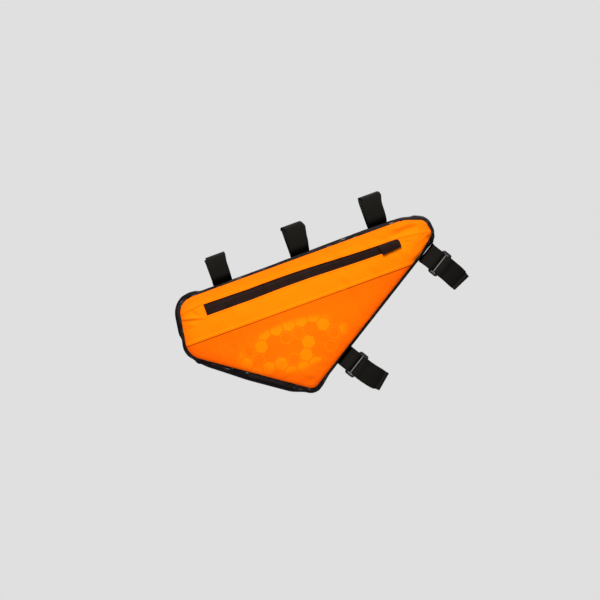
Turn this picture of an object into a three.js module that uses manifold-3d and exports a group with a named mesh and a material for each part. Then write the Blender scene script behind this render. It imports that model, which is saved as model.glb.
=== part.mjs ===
// Bicycle frame bag: a hollow wedge of orange fabric panels on a black gusset, with a long zip in the
// right-hand panel. Three straps loop round the top tube and two more close round the down tube through
// plastic rings.
//
// Millimetres. The bag is drawn in its own plane: U runs forward along the top tube, V stands up from it,
// and Y crosses the bike, with the right-hand side at negative Y. The finished group is tipped by the slope.
// The origin is the middle of the top tube under the middle strap, where the bag hangs.
import * as THREE from "three";
import { mergeVertices } from "three/addons/utils/BufferGeometryUtils.js";
import Module from "manifold-3d";

const wasm = await Module();
wasm.setup();
const { degToRad, smoothstep, lerp, clamp } = THREE.MathUtils;

// The two tubes that the bag hangs from
const topTubeSlope = 20; // degrees above level, nose up
const topTubeDiameter = 32; // under the middle strap
const topTubeTaper = 0.019; // growth of the diameter for each millimetre forward
const downTubeAngle = 32; // degrees between the two tubes
const downTubeDiameter = 50;

// Side panel outline, as edge lengths with their directions below the top edge, in degrees
const topEdgeLength = 308;
const topEdgeRearReach = 168.5; // from the middle strap back to the rear corner
const shoulderLength = 29.3;
const shoulderDrop = 16;
const noseLength = 24.6;
const noseDrop = 80;
const downTubeEdgeLength = 251;
const rearEdgeLength = 73;
const rearEdgeDrop = 99.5;

// Shell
const seamDepth = 55; // across the bag, from seam to seam
const wall = 1.6; // padded fabric
const panelCrown = 10; // how far a stuffed panel swells past its seam
const clearance = 0.3; // between any two sewn or touching pieces

// Right-hand panel: a zip window under the upper strip, and the lap seam of the lower panel
const zipRearDrop = 14.4; // from the top edge to the window, at its rear end
const zipFrontDrop = 19.6;
const zipRearWidth = 15.6;
const zipFrontWidth = 11.6;
const zipRearInset = 28.5; // from the rear end of the top edge
const zipLength = 268;
const lowerSeamDrop = 58.5;

// Zip
const tapeThickness = 1;
const tapeTuck = 4; // hidden under the fabric all round
const coilWidth = 6;
const coilThickness = 1.4;
const sliderLength = 11;
const sliderWidth = 8.2;
const sliderHeight = 2.6;
const pullLength = 9;
const pullWidth = 4.6;
const pullThickness = 1.2;
const pullDrop = 2; // below the slider's middle
const garageLength = 24.5;
const garageWidth = 12.4;
const garageLip = 2; // how much wider the garage is at its mouth, on the lower side
const garageLipLength = 8;
const garageHeight = 3.6; // above the panel
const garageWall = 1.3;
const garageRound = 5;
const sliderSetback = 2; // from the garage's closed end

// Straps
const strapWidth = 26;
const strapThickness = 2.2;
const topStrapPitch = 107;
const downStrapSlack = 7; // how far the strap stands off the outer side of the down tube
const ringBar = 2.6;
const ringWidth = 14.6; // across both outer bars
const ringMiddleBar = 1.8; // a thinner bar in the middle, with no webbing round it
const ringSideRoom = 0.4; // between the webbing and each end of the ring
const ringRound = 1.8;

// Shape of a strap's loop, as the power of its squared circle, where 2 is round
const loopPowerAtBag = 3.2;
const loopPowerAway = 2.5;

// Places round a strap's loop, in degrees from the side away from the bag, on the right-hand side if above
// zero. A top strap runs from its start over the far side and under the tube, and its end lies on its start.
const topStrapStart = 55;
const topStrapEnd = -392;
const topStrapLift = [-252, -300]; // where the end rises on to the first turn
const topStrapDrift = -200; // where the end begins to drift sideways
const tabStart = 174;
const tabEnd = 142; // folded back from the ring
const downStrapStart = -184;
const downStrapEnd = 24; // folded back from the ring

// How the outline is cut into facets
const stationSpacing = 14;
const cornerStep = 16; // degrees
const loopStep = 10; // degrees round a top strap
const downLoopStep = 6;
const hairpinStep = 22.5;
const ringStep = 30;
const barStep = 45;
const garageSegments = 5;

// Corner rounding and how far the gusset swells past the seam there, as shares of the seam depth
const cornerTable = [
  { name: "rearTop", round: 0.4, swell: 0.125 },
  { name: "shoulder", round: 0.8, swell: 0.085 },
  { name: "noseTop", round: 0.19, swell: 0.075 },
  { name: "noseLow", round: 0.13, swell: 0.076 },
  { name: "tip", round: 0.1, swell: 0.115 },
  { name: "rearLow", round: 0.33, swell: 0.08 },
];
// Swell of the gusset along each edge that starts at the corner of the same row, and how far it takes to fill
// after that corner and to fade before the next, as shares of the seam depth
const edgeTable = [
  { name: "topEdge", swell: 0.066, fill: 0.25, fade: 0.25 },
  { name: "shoulderEdge", swell: 0.115, fill: 0.25, fade: 0.25 },
  { name: "noseEdge", swell: 0.08, fill: 0.2, fade: 0.2 },
  { name: "downTubeEdge", swell: 0.072, fill: 0.4, fade: 0.4 },
  { name: "bottomEdge", swell: 0.235, fill: 0.8, fade: 1.95 },
  { name: "rearEdge", swell: 0.12, fill: 0.6, fade: 0.6 },
];
// Half of the gusset's section, from its seam to its middle: place across, as a share of half the seam depth,
// and height, as a share of the swell
const gussetSection = [
  { across: 1, rise: 0 },
  { across: 0.94, rise: 0.44 },
  { across: 0.82, rise: 0.77 },
  { across: 0.64, rise: 0.95 },
  { across: 0.42, rise: 1 },
];
// The panel's dome, from its seam to its middle: how far out, as a share of the way to the seam, and height,
// as a share of the crown
const domeSection = [
  { reach: 1, rise: 0 },
  { reach: 0.975, rise: 0.17 },
  { reach: 0.92, rise: 0.4 },
  { reach: 0.82, rise: 0.65 },
  { reach: 0.66, rise: 0.86 },
  { reach: 0.42, rise: 0.97 },
];
// Top straps: place in pitches forward of the middle, slack over the tube as a share of the strap's thickness,
// and how far the end of the strap drifts forward, as a share of its width
const topStraps = [
  { name: "top_strap_rear", pitches: -1, slack: 0.15, drift: 0.12 },
  { name: "top_strap_middle", pitches: 0, slack: 0.85, drift: 0.08 },
  { name: "top_strap_front", pitches: 1, slack: 0.8, drift: 0.16 },
];
// Down tube straps: place along the edge from the nose, as a share of its length, and the ring's place from
// the seam outwards, as a share of the tube's diameter
const downStraps = [
  { name: "down_strap_upper", along: 0.102, ring: 0.548 },
  { name: "down_strap_lower", along: 0.773, ring: 0.472 },
];

// Rows of the edges that lie along the tubes
const topEdge = 0;
const downTubeEdge = 3;

const halfDepth = seamDepth / 2;
const seatedSwell = edgeTable[topEdge].swell * seamDepth;
const mostRounding = 0.45; // of the shorter edge at a corner
const sharpestMitre = 0.5;
const strapRoom = strapThickness + 2 * clearance; // a strap's run between the gusset and a tube
const layer = strapThickness + clearance; // one turn of webbing on another
const hairpinRadius = ringBar / 2 + clearance + strapThickness / 2; // of webbing round a bar of the ring
const hairpinRun = 2 * ringBar; // over which webbing comes level with the hairpin
const topEdgeHeight = -(topTubeDiameter / 2 + strapRoom + seatedSwell);

// Solids and geometry

function toSolid(geometry) {
  const bare = geometry.clone();
  bare.deleteAttribute("normal");
  bare.deleteAttribute("uv");
  const merged = mergeVertices(bare, 1e-4);
  return new wasm.Manifold(
    new wasm.Mesh({
      numProp: 3,
      vertProperties: new Float32Array(merged.attributes.position.array),
      triVerts: new Uint32Array(merged.index.array),
    }),
  );
}

function toGeometry(solid) {
  const { vertProperties, triVerts } = solid.getMesh();
  const geometry = new THREE.BufferGeometry()
    .setAttribute("position", new THREE.BufferAttribute(vertProperties, 3))
    .setIndex(new THREE.BufferAttribute(triVerts, 1))
    .toNonIndexed();
  geometry.computeVertexNormals();
  return geometry;
}

function meshOf(name, material, geometry) {
  const mesh = new THREE.Mesh(geometry, material);
  mesh.name = name;
  return mesh;
}

function indexedGeometry(points, faces) {
  const geometry = new THREE.BufferGeometry().setFromPoints(points);
  geometry.setIndex(faces.flat());
  geometry.computeVertexNormals();
  return geometry;
}

// Skins a run of sections that all have the same number of points. A closed run joins its last section to its
// first, and an open one is capped.
function loft(sections, closed) {
  const count = sections[0].length;
  const faces = [];
  const last = closed ? sections.length : sections.length - 1;
  for (let i = 0; i < last; i++) {
    const here = i * count;
    const next = ((i + 1) % sections.length) * count;
    for (let j = 0; j < count; j++) {
      const k = (j + 1) % count;
      faces.push([here + j, next + j, next + k], [here + j, next + k, here + k]);
    }
  }
  if (!closed) {
    const end = (sections.length - 1) * count;
    for (let j = 1; j < count - 1; j++) {
      faces.push([0, j, j + 1], [end, end + j + 1, end + j]);
    }
  }
  return indexedGeometry(sections.flat(), faces);
}

// Side panel outline

function panelCorners() {
  const heading = (drop) => new THREE.Vector2(Math.cos(degToRad(drop)), -Math.sin(degToRad(drop)));
  const rearTop = new THREE.Vector2(-topEdgeRearReach, topEdgeHeight);
  const shoulder = rearTop.clone().addScaledVector(heading(0), topEdgeLength);
  const noseTop = shoulder.clone().addScaledVector(heading(shoulderDrop), shoulderLength);
  const noseLow = noseTop.clone().addScaledVector(heading(noseDrop), noseLength);
  const tip = noseLow.clone().addScaledVector(heading(180 - downTubeAngle), downTubeEdgeLength);
  const rearLow = rearTop.clone().addScaledVector(heading(rearEdgeDrop), rearEdgeLength);
  return [rearTop, shoulder, noseTop, noseLow, tip, rearLow];
}

const corners = panelCorners();

// The straight stretch from corner i to the next one, without the rounding at its ends
function edgeOf(i) {
  const start = corners[i];
  const end = corners[(i + 1) % corners.length];
  const along = end.clone().sub(start).normalize();
  return { start, along, out: new THREE.Vector2(-along.y, along.x), length: start.distanceTo(end) };
}

function roundingAt(i) {
  const before = edgeOf((i + corners.length - 1) % corners.length);
  const after = edgeOf(i);
  const turn = Math.acos(clamp(before.along.dot(after.along), -1, 1));
  const wanted = cornerTable[i].round * seamDepth;
  const most = (mostRounding * Math.min(before.length, after.length)) / Math.tan(turn / 2);
  const radius = Math.min(wanted, most);
  return { before, after, turn, radius, tangent: radius * Math.tan(turn / 2) };
}

// Points round the seam, each with its outward direction and the gusset's swell there
function seamOutline() {
  const outline = [];
  corners.forEach((corner, i) => {
    const { before, after, turn, radius, tangent } = roundingAt(i);
    const centre = corner.clone();
    centre.addScaledVector(before.along, -tangent).addScaledVector(before.out, -radius);
    const cornerSwell = cornerTable[i].swell * seamDepth;
    const turns = Math.max(2, Math.ceil(turn / degToRad(cornerStep)));
    for (let k = 0; k <= turns; k++) {
      const out = before.out.clone().rotateAround(new THREE.Vector2(), (-turn * k) / turns);
      outline.push({ point: centre.clone().addScaledVector(out, radius), out, swell: cornerSwell });
    }
    const next = (i + 1) % corners.length;
    const span = after.length - tangent - roundingAt(next).tangent;
    const pieces = Math.max(2, Math.round(span / stationSpacing));
    const { swell: share, fill, fade } = edgeTable[i];
    const edgeSwell = share * seamDepth;
    const nextSwell = cornerTable[next].swell * seamDepth;
    const squeeze = Math.min(seamDepth, span / (fill + fade));
    for (let k = 1; k < pieces; k++) {
      const distance = (span * k) / pieces;
      const early = 1 - smoothstep(distance, 0, fill * squeeze);
      const late = 1 - smoothstep(span - distance, 0, fade * squeeze);
      outline.push({
        point: corner.clone().addScaledVector(after.along, tangent + distance),
        out: after.out,
        swell: edgeSwell + (cornerSwell - edgeSwell) * early + (nextSwell - edgeSwell) * late,
      });
    }
  });
  return outline;
}

const outline = seamOutline();

// Gusset: one band of fabric round the whole bag, swelling between its two seams

function gussetProfile(swell) {
  const half = gussetSection.map(({ across, rise }) => new THREE.Vector2(rise * swell, -across * halfDepth));
  const other = half.map((p) => new THREE.Vector2(p.x, -p.y)).reverse();
  const outer = [...half, ...other];
  const inner = outer.map((p, i) => {
    if (i === 0 || i === outer.length - 1) return new THREE.Vector2(p.x - wall, p.y);
    const before = p.clone().sub(outer[i - 1]).normalize();
    const after = outer[i + 1].clone().sub(p).normalize();
    const along = before.clone().add(after).normalize();
    const mitre = 1 / Math.max(along.dot(after), sharpestMitre);
    return new THREE.Vector2(p.x - along.y * wall * mitre, p.y + along.x * wall * mitre);
  });
  return [...outer, ...inner.reverse()];
}

function gussetGeometry() {
  const sections = outline.map(({ point, out, swell }) =>
    gussetProfile(swell).map((p) => {
      const place = point.clone().addScaledVector(out, p.x);
      return new THREE.Vector3(place.x, p.y, place.y);
    }),
  );
  return loft(sections, true);
}

// Side panels: layers of one dome, cut to their plan outlines

const domeCentre = corners
  .reduce((sum, corner) => sum.add(corner), new THREE.Vector2())
  .divideScalar(corners.length);

// A shell that follows the dome between two heights above the panel's inner face. side is -1 on the right.
function domeLayer(bottom, top, side = -1) {
  const rings = (height) =>
    domeSection.map(({ reach, rise }) =>
      outline.map(({ point }) => {
        const place = domeCentre.clone().lerp(point, reach);
        const out = halfDepth + clearance + rise * panelCrown + height;
        return new THREE.Vector3(place.x, side * out, place.y);
      }),
    );
  const middle = (height) =>
    new THREE.Vector3(domeCentre.x, side * (halfDepth + clearance + panelCrown + height), domeCentre.y);
  const sections = [...rings(bottom).reverse(), ...rings(top)];
  const count = outline.length;
  const points = [...sections.flat(), middle(bottom), middle(top)];
  const faces = [];
  for (let i = 0; i < sections.length - 1; i++) {
    for (let j = 0; j < count; j++) {
      const k = (j + 1) % count;
      const here = i * count;
      const next = here + count;
      faces.push([here + j, next + j, next + k], [here + j, next + k, here + k]);
    }
  }
  const bottomMiddle = sections.length * count;
  const lastRing = (sections.length - 1) * count;
  for (let j = 0; j < count; j++) {
    const k = (j + 1) % count;
    faces.push([bottomMiddle, j, k], [bottomMiddle + 1, lastRing + k, lastRing + j]);
  }
  const turned = side < 0 ? faces : faces.map(([a, b, c]) => [a, c, b]);
  return toSolid(indexedGeometry(points, turned));
}

// A plan outline on the right-hand side, as a solid that reaches through every layer of the dome
function prism(shape) {
  const settings = { depth: seamDepth + 2 * panelCrown, bevelEnabled: false, curveSegments: garageSegments };
  return toSolid(new THREE.ExtrudeGeometry(shape, settings).rotateX(Math.PI / 2));
}

function polygon(...points) {
  return new THREE.Shape(points.map(([u, v]) => new THREE.Vector2(u, v)));
}

const zipRear = -topEdgeRearReach + zipRearInset;
const zipFront = zipRear + zipLength;
const zipSlope = (zipRearDrop - zipFrontDrop) / zipLength;
const zipTop = (u) => topEdgeHeight - zipRearDrop + zipSlope * (u - zipRear);
const zipWidthAt = (u) => lerp(zipRearWidth, zipFrontWidth, clamp((u - zipRear) / zipLength, 0, 1));
const zipBottom = (u) => zipTop(u) - zipWidthAt(u);
const zipMiddle = (u) => zipTop(u) - zipWidthAt(u) / 2;
const lowerSeam = topEdgeHeight - lowerSeamDrop;
const farRear = -topEdgeRearReach - topEdgeLength;
const farFront = topEdgeLength;
const farBelow = lowerSeam - downTubeEdgeLength;

// The zip window's upper front corner is cut off like the garage's
function rightPanels(material) {
  const skin = domeLayer(0, wall);
  const halfGap = clearance / 2;
  const above = prism(
    polygon(
      [farRear, zipTop(farRear) + halfGap],
      [farFront, zipTop(farFront) + halfGap],
      [farFront, topEdgeHeight + seamDepth],
      [farRear, topEdgeHeight + seamDepth],
    ),
  );
  const between = prism(
    polygon(
      [farRear, lowerSeam + halfGap],
      [farFront, lowerSeam + halfGap],
      [farFront, zipTop(farFront) - halfGap],
      [farRear, zipTop(farRear) - halfGap],
    ),
  );
  const below = prism(
    polygon(
      [farRear, farBelow],
      [farFront, farBelow],
      [farFront, lowerSeam - halfGap],
      [farRear, lowerSeam - halfGap],
    ),
  );
  const midRound = garageRound * (1 - Math.SQRT1_2);
  const window = prism(
    polygon(
      [zipRear, zipBottom(zipRear)],
      [zipFront, zipBottom(zipFront)],
      [zipFront, zipTop(zipFront) - garageRound],
      [zipFront - midRound, zipTop(zipFront) - midRound],
      [zipFront - garageRound, zipTop(zipFront - garageRound) + clearance],
      [zipRear, zipTop(zipRear) + clearance],
    ),
  );
  const cut = (name, solid) => meshOf(name, material, toGeometry(solid));
  return [
    cut("right_panel_upper", skin.intersect(above)),
    cut("right_panel_middle", skin.intersect(between).subtract(window)),
    cut("right_panel_lower", skin.intersect(below)),
  ];
}

// Zip

function zipTapes(material) {
  const sheet = domeLayer(-clearance - tapeThickness, -clearance);
  const rear = zipRear - tapeTuck;
  const front = zipFront + tapeTuck;
  const halfGap = clearance / 2;
  const upper = polygon(
    [rear, zipMiddle(rear) + halfGap],
    [front, zipMiddle(front) + halfGap],
    [front, zipTop(front) + tapeTuck],
    [rear, zipTop(rear) + tapeTuck],
  );
  const lower = polygon(
    [rear, zipBottom(rear) - tapeTuck],
    [front, zipBottom(front) - tapeTuck],
    [front, zipMiddle(front) - halfGap],
    [rear, zipMiddle(rear) - halfGap],
  );
  return [
    meshOf("zip_tape_upper", material, toGeometry(sheet.intersect(prism(upper)))),
    meshOf("zip_tape_lower", material, toGeometry(sheet.intersect(prism(lower)))),
  ];
}

function zipCoil(material) {
  const top = -2 * clearance - tapeThickness;
  const sheet = domeLayer(top - coilThickness, top);
  const strip = polygon(
    [zipRear, zipMiddle(zipRear) - coilWidth / 2],
    [zipFront, zipMiddle(zipFront) - coilWidth / 2],
    [zipFront, zipMiddle(zipFront) + coilWidth / 2],
    [zipRear, zipMiddle(zipRear) + coilWidth / 2],
  );
  return meshOf("zip_coil", material, toGeometry(sheet.intersect(prism(strip))));
}

// Plan outline of the garage, or of the space in it, with its upper front corner rounded
function garageShape(inset, rearExtra) {
  const rear = zipFront - garageLength - rearExtra;
  const front = zipFront - inset;
  const middle = zipMiddle(zipFront - garageLength / 2);
  const half = garageWidth / 2 - inset;
  const round = garageRound - inset;
  const shape = new THREE.Shape();
  const lipEnd = zipFront - garageLength + garageLipLength - inset;
  shape.moveTo(rear, middle - half - garageLip);
  shape.lineTo(lipEnd, middle - half - garageLip);
  shape.lineTo(lipEnd + garageLip, middle - half);
  shape.lineTo(front, middle - half);
  shape.lineTo(front, middle + half - round);
  shape.absarc(front - round, middle + half - round, round, 0, Math.PI / 2, false);
  shape.lineTo(rear, middle + half);
  shape.closePath();
  return shape;
}

function zipGarage(material) {
  const base = wall + clearance;
  const hood = domeLayer(base, wall + garageHeight).intersect(prism(garageShape(0, 0)));
  const space = domeLayer(base - wall, wall + garageHeight - garageWall).intersect(
    prism(garageShape(garageWall, garageLength)),
  );
  return meshOf("zip_garage", material, toGeometry(hood.subtract(space)));
}

// The slider is parked under the garage with the end of its pull in the garage's mouth: one plain piece
function zipSlider(material) {
  const front = zipFront - garageWall - sliderSetback;
  const middle = zipMiddle(front);
  const rear = front - sliderLength;
  const body = polygon(
    [rear, middle - sliderWidth / 2],
    [front, middle - sliderWidth / 3],
    [front, middle + sliderWidth / 3],
    [rear, middle + sliderWidth / 2],
  );
  const pullMiddle = middle - pullDrop;
  const pull = polygon(
    [rear - pullLength, pullMiddle - pullWidth / 2],
    [rear + pullWidth / 2, pullMiddle - pullWidth / 2],
    [rear + pullWidth / 2, pullMiddle + pullWidth / 2],
    [rear - pullLength, pullMiddle + pullWidth / 2],
  );
  const pullTop = sliderHeight + pullThickness / 2;
  const solid = domeLayer(0, sliderHeight)
    .intersect(prism(body))
    .add(domeLayer(pullTop - pullThickness, pullTop).intersect(prism(pull)));
  return meshOf("zip_slider", material, toGeometry(solid));
}

// Straps

// Maps a place on an edge of the bag, as distance outwards from the seam, across the bike and along the edge
function edgeFrame(edgeIndex, distance) {
  const { start, along, out } = edgeOf(edgeIndex);
  return (outwards, across, sideways) => {
    const place = start.clone().addScaledVector(along, distance + sideways).addScaledVector(out, outwards);
    return new THREE.Vector3(place.x, across, place.y);
  };
}

// The most that the gusset swells under a strap
function swellUnder(edgeIndex, distance) {
  const { start, along, out } = edgeOf(edgeIndex);
  const stations = outline
    .map(({ point, swell }) => ({ offset: point.clone().sub(start), swell }))
    .filter(({ offset }) => Math.abs(offset.dot(out)) < wall)
    .map(({ offset, swell }) => ({ at: offset.dot(along) - distance, swell }))
    .sort((a, b) => a.at - b.at);
  const under = [];
  stations.slice(1).forEach((after, i) => {
    const before = stations[i];
    const from = Math.max(before.at, -strapWidth / 2);
    const to = Math.min(after.at, strapWidth / 2);
    if (from > to) return;
    const swellAt = (at) => lerp(before.swell, after.swell, (at - before.at) / (after.at - before.at));
    under.push(swellAt(from), swellAt(to));
  });
  return Math.max(...under);
}

// A strap's centre line round a tube: 0 degrees is the side away from the bag, 90 the right-hand side and 180
// the bag's side, where it lies flat on the gusset
function loopRound({ swell, tubeRadius, slack }) {
  const radius = tubeRadius + clearance + strapThickness / 2;
  const centre = swell + strapRoom + tubeRadius;
  const squared = (x, power) => Math.sign(x) * Math.abs(x) ** (2 / power);
  return (degrees, lift = 0) => {
    const [sin, cos] = [Math.sin(degToRad(degrees)), Math.cos(degToRad(degrees))];
    const power = cos < 0 ? loopPowerAtBag : loopPowerAway;
    const reach = radius + lift + (cos > 0 ? slack : 0);
    return new THREE.Vector2(centre + reach * squared(cos, power), -(radius + lift) * squared(sin, power));
  };
}

function steps(from, to, step) {
  const count = Math.ceil(Math.abs(to - from) / step);
  return Array.from({ length: count + 1 }, (_, i) => lerp(from, to, i / count));
}

// A flat band of webbing along a centre line, each point of which may be shifted sideways
function band(line, frame) {
  const half = strapThickness / 2;
  const sections = line.map(({ at, shift = 0 }, i) => {
    const before = line[Math.max(i - 1, 0)].at;
    const after = line[Math.min(i + 1, line.length - 1)].at;
    const along = after.clone().sub(before).normalize();
    const out = new THREE.Vector2(-along.y, along.x).multiplyScalar(half);
    const corner = (side, sideways) =>
      frame(at.x + side * out.x, at.y + side * out.y, shift + (sideways * strapWidth) / 2);
    return [corner(-1, -1), corner(1, -1), corner(1, 1), corner(-1, 1)];
  });
  return loft(sections, false);
}

function topStrap({ name, pitches, slack, drift }, material) {
  const forward = pitches * topStrapPitch;
  const tubeRadius = (topTubeDiameter + topTubeTaper * forward) / 2;
  const swell = swellUnder(topEdge, topEdgeRearReach + forward);
  const loop = loopRound({ swell, tubeRadius, slack: slack * strapThickness });
  const line = steps(topStrapStart, topStrapEnd, loopStep).map((degrees) => {
    const lap = smoothstep(-degrees, -topStrapLift[0], -topStrapLift[1]);
    const tail = clamp((degrees - topStrapDrift) / (topStrapEnd - topStrapDrift), 0, 1);
    return { at: loop(degrees, lap * layer), shift: tail * drift * strapWidth };
  });
  return meshOf(name, material, band(line, edgeFrame(topEdge, topEdgeRearReach + forward)));
}

// Half a turn of webbing round a bar of the ring, from the tube's side to the outside. toward is the way it
// faces.
function hairpin(bar, toward) {
  return steps(-90, 90, hairpinStep).map((degrees) => {
    const [sin, cos] = [Math.sin(degToRad(degrees)), Math.cos(degToRad(degrees))];
    return { at: new THREE.Vector2(bar.x + toward * hairpinRadius * cos, bar.y - hairpinRadius * sin) };
  });
}

function downStrap({ name, along, ring }, webbing, plastic) {
  const distance = along * edgeOf(downTubeEdge).length;
  const frame = edgeFrame(downTubeEdge, distance);
  const tubeRadius = downTubeDiameter / 2;
  const swell = swellUnder(downTubeEdge, distance);
  const loop = loopRound({ swell, tubeRadius, slack: downStrapSlack });
  const ringDepth = -(tubeRadius + 2 * clearance + strapThickness + ringBar / 2);
  const ringCentre = ring * downTubeDiameter;
  const barOffset = (ringWidth - ringBar) / 2;
  const nearBar = new THREE.Vector2(ringCentre - barOffset, ringDepth);
  const farBar = new THREE.Vector2(ringCentre + barOffset, ringDepth);

  // Webbing comes level with the hairpin near its bar, on the tube's side at 1 and outside at -1
  const levelled = (at, bar, side) => {
    const near = smoothstep(ringBar + hairpinRun - Math.abs(at.x - bar.x), 0, hairpinRun);
    return new THREE.Vector2(at.x, lerp(at.y, bar.y + side * hairpinRadius, near));
  };
  const onFarSide = (at) => at.y > ringDepth / 2;

  // Stretches of the loop on the bag's side of the ring and past it, and the layer that folds back on each
  const beforeRing = (at) => at.x < nearBar.x - ringBar;
  const pastRing = (at) => at.x > farBar.x + ringBar;
  const under = (from, to, keep, bar) =>
    steps(from, to, downLoopStep)
      .map((degrees) => loop(degrees))
      .filter((at) => keep(at) || onFarSide(at))
      .map((at) => ({ at: onFarSide(at) ? at : levelled(at, bar, 1) }));
  const over = (from, to, keep, bar) =>
    steps(from, to, downLoopStep)
      .map((degrees) => loop(degrees, layer))
      .filter(keep)
      .map((at) => ({ at: levelled(at, bar, -1) }));

  const tabLine = [
    ...under(tabStart, 90, beforeRing, nearBar),
    ...hairpin(nearBar, 1),
    ...over(90, tabEnd, beforeRing, nearBar),
  ];
  const strapLine = [
    ...under(downStrapStart, 90, pastRing, farBar),
    ...hairpin(farBar, -1),
    ...over(90, downStrapEnd, pastRing, farBar),
  ];
  return [
    meshOf(name + "_tab", webbing, band(tabLine, frame)),
    meshOf(name + "_ring", plastic, ringGeometry(frame, ringCentre, ringDepth)),
    meshOf(name, webbing, band(strapLine, frame)),
  ];
}

// A rectangular ring of round bar that lies flat on the side of the tube, with a thinner bar across its middle
function ringGeometry(frame, centre, depth) {
  const halfAcross = (ringWidth - ringBar) / 2;
  const halfAlong = strapWidth / 2 + ringSideRoom + ringBar / 2;
  const turns = steps(0, 360 - barStep, barStep).map(degToRad);
  const section = (middle, heading, radius) =>
    turns.map((turn) => {
      const place = middle.clone().addScaledVector(heading, radius * Math.cos(turn));
      return frame(centre + place.x, depth + radius * Math.sin(turn), place.y);
    });
  const rim = [];
  for (const [outSide, alongSide, from] of [[1, 1, 0], [-1, 1, 90], [-1, -1, 180], [1, -1, 270]]) {
    for (const degrees of steps(from, from + 90, ringStep)) {
      const heading = new THREE.Vector2(1, 0).rotateAround(new THREE.Vector2(), degToRad(degrees));
      const middle = new THREE.Vector2(halfAcross - ringRound, halfAlong - ringRound);
      middle.multiply(new THREE.Vector2(outSide, alongSide)).addScaledVector(heading, ringRound);
      rim.push(section(middle, heading, ringBar / 2));
    }
  }
  const across = new THREE.Vector2(1, 0);
  const bar = [-halfAlong, halfAlong].map((y) => section(new THREE.Vector2(0, y), across, ringMiddleBar / 2));
  const solids = [loft(rim, true), loft(bar, false)].map(toSolid);
  return toGeometry(solids[0].add(solids[1]));
}

// Materials

const finish = (color, roughness) => new THREE.MeshStandardMaterial({ color, roughness, metalness: 0 });
const orangeFabric = finish(0xff8200, 0.62);
const blackFabric = finish(0x1d1a1c, 0.5);
const zipTape = finish(0x2a1c1e, 0.45);
const webbing = finish(0x1c1b18, 0.85);
const plastic = finish(0x20211f, 0.4);

// Assembly

const bag = new THREE.Group();
bag.add(
  meshOf("gusset", blackFabric, gussetGeometry()),
  meshOf("left_panel", orangeFabric, toGeometry(domeLayer(0, wall, 1))),
  ...rightPanels(orangeFabric),
  ...zipTapes(zipTape),
  zipCoil(zipTape),
  zipSlider(plastic),
  zipGarage(zipTape),
  ...topStraps.map((row) => topStrap(row, webbing)),
  ...downStraps.flatMap((row) => downStrap(row, webbing, plastic)),
);
bag.rotation.y = -degToRad(topTubeSlope);

const part = new THREE.Group();
part.add(bag);

export default part;
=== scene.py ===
import math

import bpy
from mathutils import Matrix, Vector
from mathutils.bvhtree import BVHTree


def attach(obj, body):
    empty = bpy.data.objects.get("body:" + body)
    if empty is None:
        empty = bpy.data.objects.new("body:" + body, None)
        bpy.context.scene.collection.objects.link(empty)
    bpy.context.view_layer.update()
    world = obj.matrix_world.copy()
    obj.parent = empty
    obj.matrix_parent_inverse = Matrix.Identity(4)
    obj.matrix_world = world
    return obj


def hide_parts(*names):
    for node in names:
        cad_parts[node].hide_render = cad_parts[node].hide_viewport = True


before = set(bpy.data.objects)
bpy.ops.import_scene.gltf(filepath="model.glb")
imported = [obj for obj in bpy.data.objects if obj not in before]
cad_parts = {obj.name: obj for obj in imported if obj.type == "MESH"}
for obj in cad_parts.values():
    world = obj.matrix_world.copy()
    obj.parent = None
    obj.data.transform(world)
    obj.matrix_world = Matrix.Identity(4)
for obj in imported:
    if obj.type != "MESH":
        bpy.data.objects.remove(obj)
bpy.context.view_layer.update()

# Sizes in millimetres in the bag's own plane: u forward along its top edge, v up from there, and y across it

MM = 0.001
SLOPE = math.radians(20)
HALF_DEPTH = 27.5
CLEARANCE = 0.3
CROWN = 10.0
WALL = 1.4
REAR_REACH = 169.6
TOP_EDGE_V = -22.43

# Corner, its rounding, the gusset's swell there, then the edge after it: length, drop in degrees, swell, and
# how far the swell takes to fill after the corner and to fade before the next one
OUTLINE_TABLE = [
    ("rear top", 22.0, 6.9, 309.1, 0.0, 3.63, 14.0, 14.0),
    ("shoulder", 44.0, 4.7, 28.4, 19.8, 6.3, 14.0, 14.0),
    ("nose top", 10.5, 5.2, 20.0, 80.0, 5.2, 9.0, 9.0),
    ("nose low", 8.0, 5.6, 29.5, 140.0, 7.0, 4.0, 24.0),
    ("nose cheek", 60.0, 4.3, 223.3, 148.1, 3.96, 8.0, 22.0),
    ("tip", 11.0, 6.5, None, None, 10.8, 24.0, 72.0),
    ("rear low", 25.0, 5.0, None, None, 6.6, 33.0, 33.0),
]
# Rows of the edges by which the straps and the gusset's lap are placed
TOP_EDGE = 0
FRONT_EDGE = 4
BOTTOM_EDGE = 5
REAR_EDGE = 70.6
REAR_EDGE_DROP = 99.5

# The zip: drop below the top edge and width at both ends, its bow, and its tapes and coil behind the panels
ZIP_REAR = -140.0
ZIP_FRONT = 126.4
ZIP_REAR_DROP = 14.4
ZIP_FRONT_DROP = 19.6
ZIP_REAR_WIDTH = 15.4
ZIP_FRONT_WIDTH = 11.2
ZIP_BOW = 1.1
ZIP_BOW_PLACE = 37.0
ZIP_BOW_LENGTH = 115.0
ZIP_END_DROOP = 0.125
ZIP_TUCK = 3.5
ZIP_PARTING = 0.12
ZIP_COIL_HALF = 3.0
TAPE_DEPTH = 1.0
TAPE_THICKNESS = 0.8
COIL_DEPTH = 2.1
COIL_THICKNESS = 1.2
LOWER_SEAM_V = TOP_EDGE_V - 58.5
SEAM_GAP = 0.15

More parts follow.
